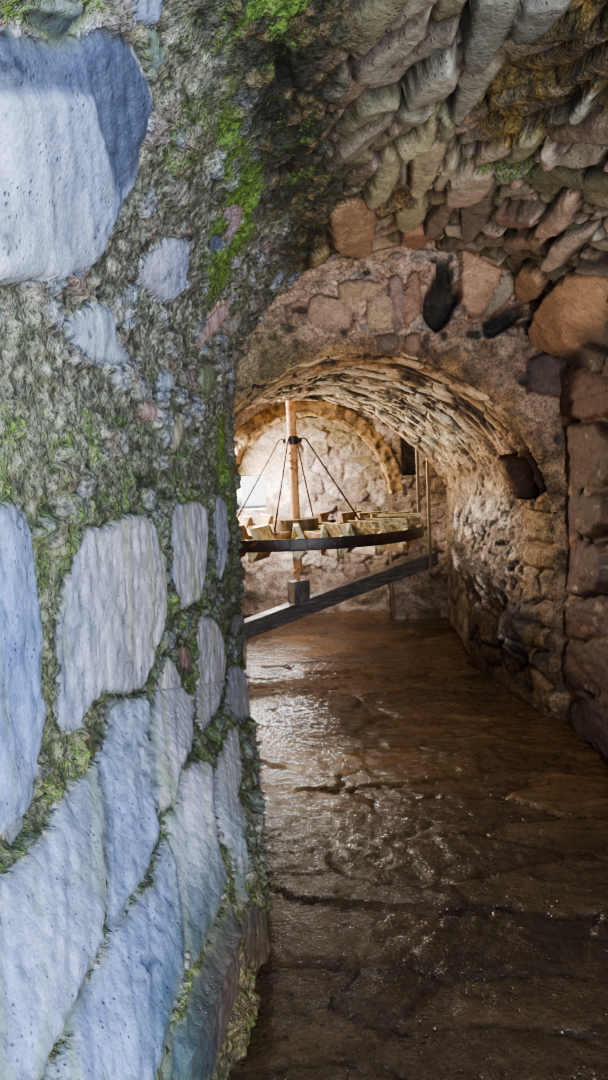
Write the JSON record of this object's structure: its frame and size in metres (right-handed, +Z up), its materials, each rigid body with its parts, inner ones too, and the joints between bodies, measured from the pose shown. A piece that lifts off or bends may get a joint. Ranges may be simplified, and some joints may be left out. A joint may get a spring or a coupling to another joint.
{
  "type": "watermill wheel vault",
  "caption": "Stone undercroft of a small watermill: vaulted tail-race passage and wheel chamber with a horizontal wooden paddle wheel on a vertical iron shaft.",
  "frame": {"origin": "middle of the footprint's box, on the ground", "axes": "+Z up; +Y from the mouth of the passage into the wheel chamber; +X to the right of a person looking in"},
  "size_m": [4.6, 7.6, 3.5],
  "materials": {
    "limestone_wall": "rough whitewashed rubble",
    "dark_stone": "rough damp rubble",
    "vault_stone": "rough split wedge stones",
    "pink_rubble": "pinkish brown rubble",
    "tufa_vault": "yellow brown streaked tufa",
    "chamber_stone": "damp mossy rubble",
    "ochre_stone": "cut ochre wedge stones",
    "floor_stone": "wet brown flagstone",
    "deck_stone": "worn paving",
    "old_wood": "wet weathered oak",
    "paddle_wood": "wet carved wood with algae",
    "rusty_iron": "rusted",
    "dark_iron": "wet dark iron"
  },
  "bodies": {
    "masonry": {"passage_left_wall": "limestone_wall", "left_wall_footing": "limestone_wall", "cross_wall_left": "limestone_wall", "passage_right_wall": "dark_stone", "cross_wall_right": "dark_stone", "cross_wall_socket_course": "dark_stone", "throat_right_wall": "dark_stone", "throat_left_wall": "dark_stone", "passage_vault": "vault_stone", "passage_left_haunch": "vault_stone", "passage_right_haunch": "vault_stone", "cross_wall_head": "pink_rubble", "throat_vault": "tufa_vault", "chamber_vault": "tufa_vault", "chamber_left_wall": "chamber_stone", "chamber_right_wall": "chamber_stone", "chamber_left_haunch": "chamber_stone", "chamber_right_haunch": "chamber_stone", "back_wall_left": "chamber_stone", "back_wall_right": "chamber_stone", "back_wall_head": "chamber_stone", "back_recess_panel": "chamber_stone", "back_arch_ring": "ochre_stone", "passage_floor": "floor_stone", "throat_floor": "floor_stone", "chamber_floor": "floor_stone", "passage_deck": "deck_stone", "chamber_deck": "deck_stone", "sole_tree_block": "deck_stone", "sole_tree": "old_wood", "footstep_bearing": "old_wood", "deck_bush": "old_wood", "lightening_straps": "dark_iron", "lightening_bar": "dark_iron"},
    "wheel": {"wheel_shaft": "rusty_iron", "shaft_pivot": "rusty_iron", "splice_bands": "rusty_iron", "rod_collar": "dark_iron", "tie_rods": "dark_iron", "rod_feet": "dark_iron", "wheel_hub": "old_wood", "paddles": "paddle_wood", "rim_band": "dark_iron", "band_lap_plate": "dark_iron"}
  },
  "joints": [
    {"name": "wheel_spin", "type": "hinge", "parent": "masonry", "child": "wheel", "pos_m": [-0.15, 1.5, 1.065], "axis": [0, 0, 1], "continuous": true}
  ]
}
